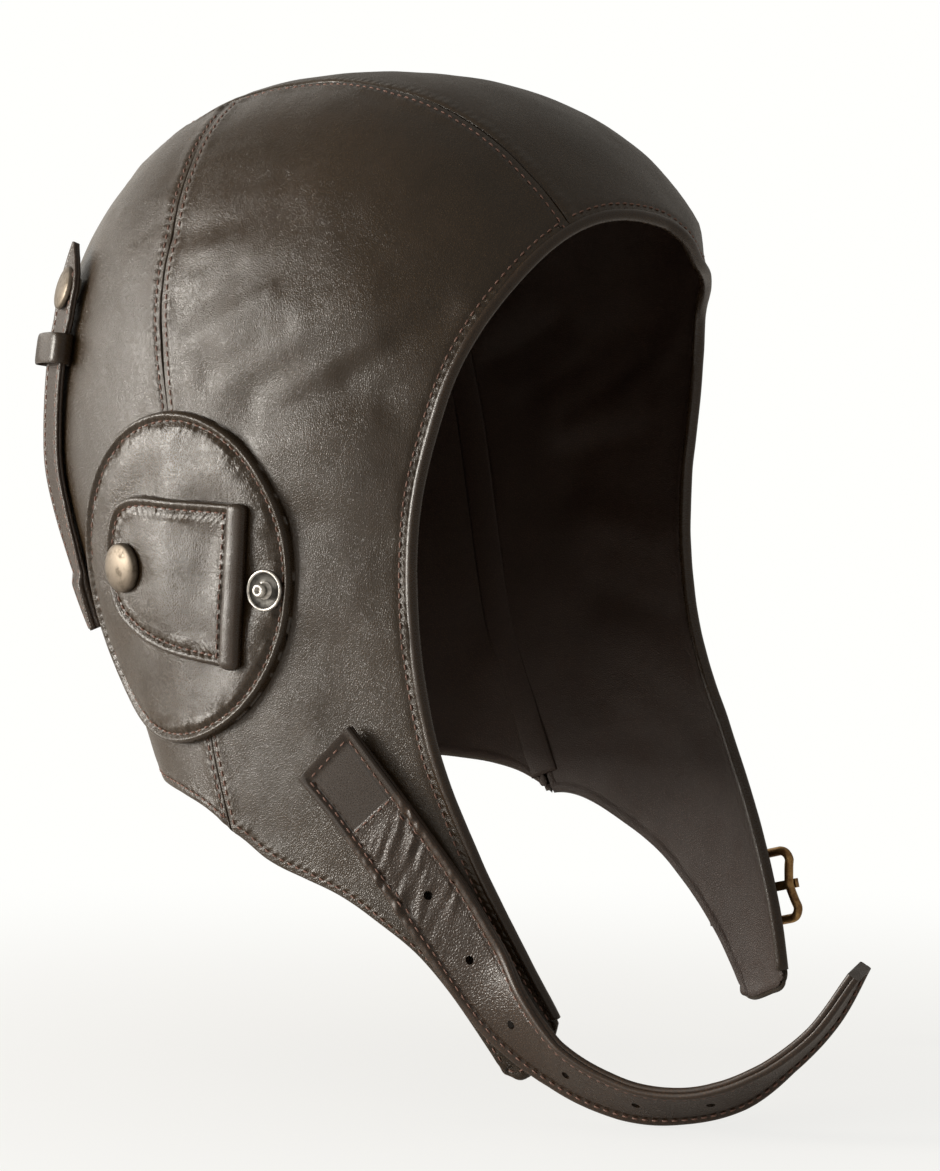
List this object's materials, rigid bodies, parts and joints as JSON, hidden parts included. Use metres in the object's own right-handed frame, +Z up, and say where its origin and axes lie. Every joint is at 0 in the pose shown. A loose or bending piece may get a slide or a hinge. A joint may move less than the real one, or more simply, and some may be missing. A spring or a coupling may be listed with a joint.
{
  "type": "leather motoring helmet",
  "caption": "Brown leather motoring helmet with oval ear covers, snap caps, goggle straps and a long chin strap that hangs free in front of its brass buckle.",
  "frame": {"origin": "The inside of the crown at its top, where the helmet rests on the head. The outside of the crown is one wall thickness above it.", "axes": "Millimetres. +Z is up. The wearer looks along -Y, and the wearer's right side, with the long chin strap, is at -X."},
  "size_m": [0.1642, 0.28, 0.2738],
  "materials": {
    "leather_shell": "satin, fine grain, paler where it is worn",
    "leather_edge": "satin rolled edge",
    "leather_strap": "coarser grain, slightly dull",
    "snap_metal": "aged, grey-brown, semi-matt",
    "stud_metal": "nickel, worn",
    "buckle_metal": "aged, semi-matt"
  },
  "bodies": {
    "helmet": {"crown_strip": "leather_shell", "side_panel_right": "leather_shell", "side_panel_left": "leather_shell", "back_panel_right": "leather_shell", "back_panel_left": "leather_shell", "face_binding": "leather_edge", "ear_patch_right": "leather_shell", "ear_patch_left": "leather_shell", "ear_flap_right": "leather_shell", "ear_flap_left": "leather_shell", "snap_cap_right": "snap_metal", "snap_cap_left": "snap_metal", "snap_stud_right": "stud_metal", "snap_stud_left": "stud_metal", "goggle_strap_right": "leather_strap", "goggle_strap_left": "leather_strap", "goggle_snap_right": "snap_metal", "goggle_snap_left": "snap_metal", "goggle_stud_right": "snap_metal", "goggle_stud_left": "snap_metal", "goggle_keeper_right": "leather_strap", "goggle_keeper_left": "leather_strap", "chin_strap": "leather_strap", "buckle_tab": "leather_strap"},
    "buckle": {"buckle_frame": "buckle_metal"},
    "prong": {"buckle_prong": "buckle_metal"}
  },
  "joints": [
    {"name": "buckle_hinge", "type": "hinge", "parent": "helmet", "child": "buckle", "pos_m": [0.07731, -0.06756, -0.22951], "axis": [0.0318, 0.2248, 0.9739], "range_deg": [0, 60]},
    {"name": "prong_hinge", "type": "hinge", "parent": "buckle", "child": "prong", "pos_m": [0.07731, -0.06756, -0.22951], "axis": [0.0318, 0.2248, 0.9739], "range_deg": [0, 60]}
  ]
}
